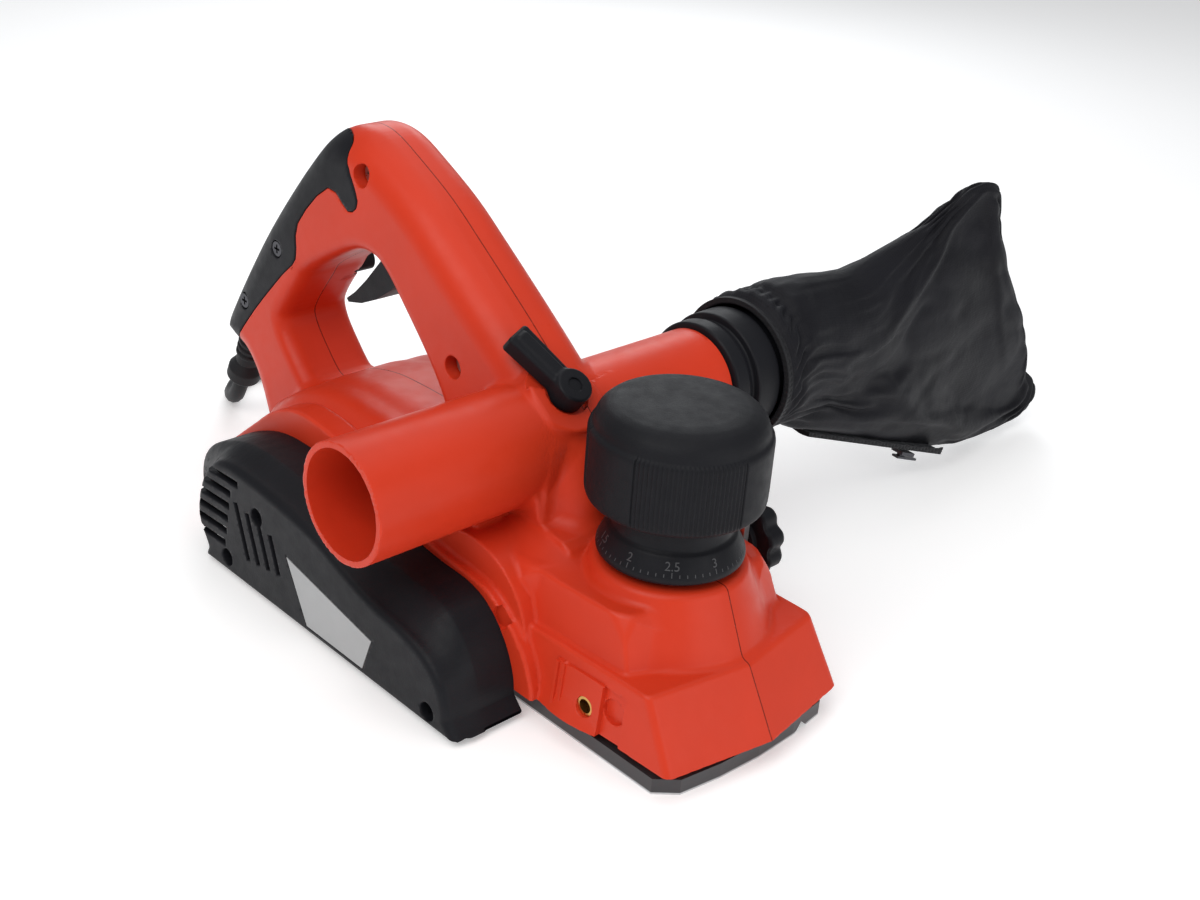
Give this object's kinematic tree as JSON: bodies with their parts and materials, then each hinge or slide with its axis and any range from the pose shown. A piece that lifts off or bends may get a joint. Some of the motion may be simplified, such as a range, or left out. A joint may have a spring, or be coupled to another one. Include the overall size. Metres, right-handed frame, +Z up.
{
  "type": "electric hand planer",
  "caption": "Hand-held electric planer: moulded body with loop handle, turning cutter drum, height-set front shoe with dial knob, side chip outlet and cloth dust bag.",
  "frame": {"origin": "on the plane of the soles, on the body's middle plane, 50 mm behind the cutter axis", "axes": "+X to the nose, +Y to the left (bag) side, +Z up"},
  "size_m": [0.3503, 0.3896, 0.1604],
  "materials": {
    "housing": "satin moulded, fine grain",
    "screw": "zinc plated",
    "trim": "satin moulded, near black",
    "label": "plain foil plate",
    "sole": "machined cast alloy",
    "steel": "turned",
    "brass": "turned",
    "spring": "spring wire",
    "drum": "machined",
    "blade": "ground",
    "dark_steel": "blackened",
    "bearing": "polished",
    "belt": "ribbed",
    "core": "laminated",
    "copper": "varnished copper",
    "grey_plastic": "matt",
    "carbon": "graphite",
    "wire": "insulated",
    "rubber": "soft moulded",
    "cord": "rubber sheath",
    "fabric": "woven nylon",
    "webbing": "woven tape",
    "steel_dark": "lacquered"
  },
  "bodies": {
    "body": {"housing_right": "housing", "housing_left": "housing", "housing_screws": "screw", "handle_rear_cover": "trim", "handle_cover_screws": "screw", "belt_cover": "trim", "belt_cover_screws": "screw", "rating_plate": "label", "base_frame": "sole", "base_screws": "screw", "depth_nut": "brass", "shoe_springs": "spring", "drum_bearings": "bearing", "drive_belt": "belt", "motor_bearings": "bearing", "stator": "core", "field_windings": "copper", "brush_holders": "brass", "carbon_brushes": "carbon", "brush_springs": "spring", "switch_body": "grey_plastic", "trigger_pin": "steel", "lead_wires": "wire", "cord_clamp": "grey_plastic", "cord_guard": "rubber", "power_cord": "cord", "cord_coil": "cord", "cord_tail": "cord", "plug_body": "rubber", "plug_pins": "steel", "fence_inserts": "brass"},
    "shoe": {"front_shoe": "sole", "bolt_retainer": "steel"},
    "knob": {"depth_bolt": "steel", "depth_dial": "trim", "depth_knob": "trim"},
    "drum": {"cutter_drum": "drum", "blades": "blade", "blade_clamps": "steel", "blade_screws": "dark_steel", "drum_pulley": "sole"},
    "rotor": {"motor_shaft": "steel", "armature": "core", "commutator": "copper", "fan": "grey_plastic", "motor_pulley": "steel"},
    "trigger": {"trigger": "trim"},
    "lock": {"lock_button": "trim"},
    "chip_gate": {"chip_lever": "trim", "chip_deflector": "grey_plastic"},
    "rabbet_stop": {"rabbet_stop": "sole"},
    "rabbet_knob": {"rabbet_knob": "trim"},
    "collar": {"bag_collar": "trim"},
    "bag": {"dust_bag": "fabric", "bag_band": "webbing", "bag_zipper": "webbing"},
    "zip": {"zip_slider": "steel_dark"}
  },
  "joints": [
    {"name": "shoe_slide", "type": "slide", "parent": "body", "child": "shoe", "axis": [0, 0, 1], "range_m": [0, 0.003], "deforming": ["shoe_springs"]},
    {"name": "depth_turn", "type": "hinge", "parent": "shoe", "child": "knob", "pos_m": [0.1, 0, 0], "axis": [0, 0, 1], "range_deg": [-216, 0]},
    {"name": "drum_spin", "type": "hinge", "parent": "body", "child": "drum", "pos_m": [0.05, 0, 0.024], "axis": [0, 1, 0], "continuous": true},
    {"name": "motor_spin", "type": "hinge", "parent": "body", "child": "rotor", "pos_m": [-0.045, 0, 0.033], "axis": [0, 1, 0], "continuous": true},
    {"name": "trigger_pull", "type": "hinge", "parent": "body", "child": "trigger", "pos_m": [-0.037, 0, 0.119], "axis": [0, 1, 0], "range_deg": [0, 9], "stiffness_Nm_per_rad": 0.5, "springref_deg": -20.05},
    {"name": "lock_press", "type": "slide", "parent": "body", "child": "lock", "axis": [0, -1, 0], "range_m": [0, 0.003], "stiffness_N_per_m": 400, "springref_m": -0.003},
    {"name": "chip_lever_turn", "type": "hinge", "parent": "body", "child": "chip_gate", "pos_m": [0.0508, -0.005, 0.0952], "axis": [0.6198, 0, 0.7848], "range_deg": [-60, 0]},
    {"name": "rabbet_slide", "type": "slide", "parent": "body", "child": "rabbet_stop", "axis": [0, 0, -1], "range_m": [0, 0.009]},
    {"name": "rabbet_knob_turn", "type": "hinge", "parent": "body", "child": "rabbet_knob", "pos_m": [0.088, 0.05, 0.038], "axis": [0, 1, 0], "continuous": true},
    {"name": "collar_pull", "type": "slide", "parent": "body", "child": "collar", "axis": [0, 1, 0], "range_m": [0, 0.022]},
    {"name": "bag_turn", "type": "hinge", "parent": "collar", "child": "bag", "pos_m": [0.041, 0, 0.0766], "axis": [0, 1, 0], "range_deg": [-90, 90]},
    {"name": "zip_slide", "type": "slide", "parent": "bag", "child": "zip", "axis": [0.1183, 0.9366, -0.3297], "range_m": [-0.06, 0.012]}
  ],
  "couplings": [
    {"joint": "depth_turn", "follows": "shoe_slide", "rad_per_m": -1256.6},
    {"joint": "motor_spin", "follows": "drum_spin", "ratio": 1.2222}
  ]
}
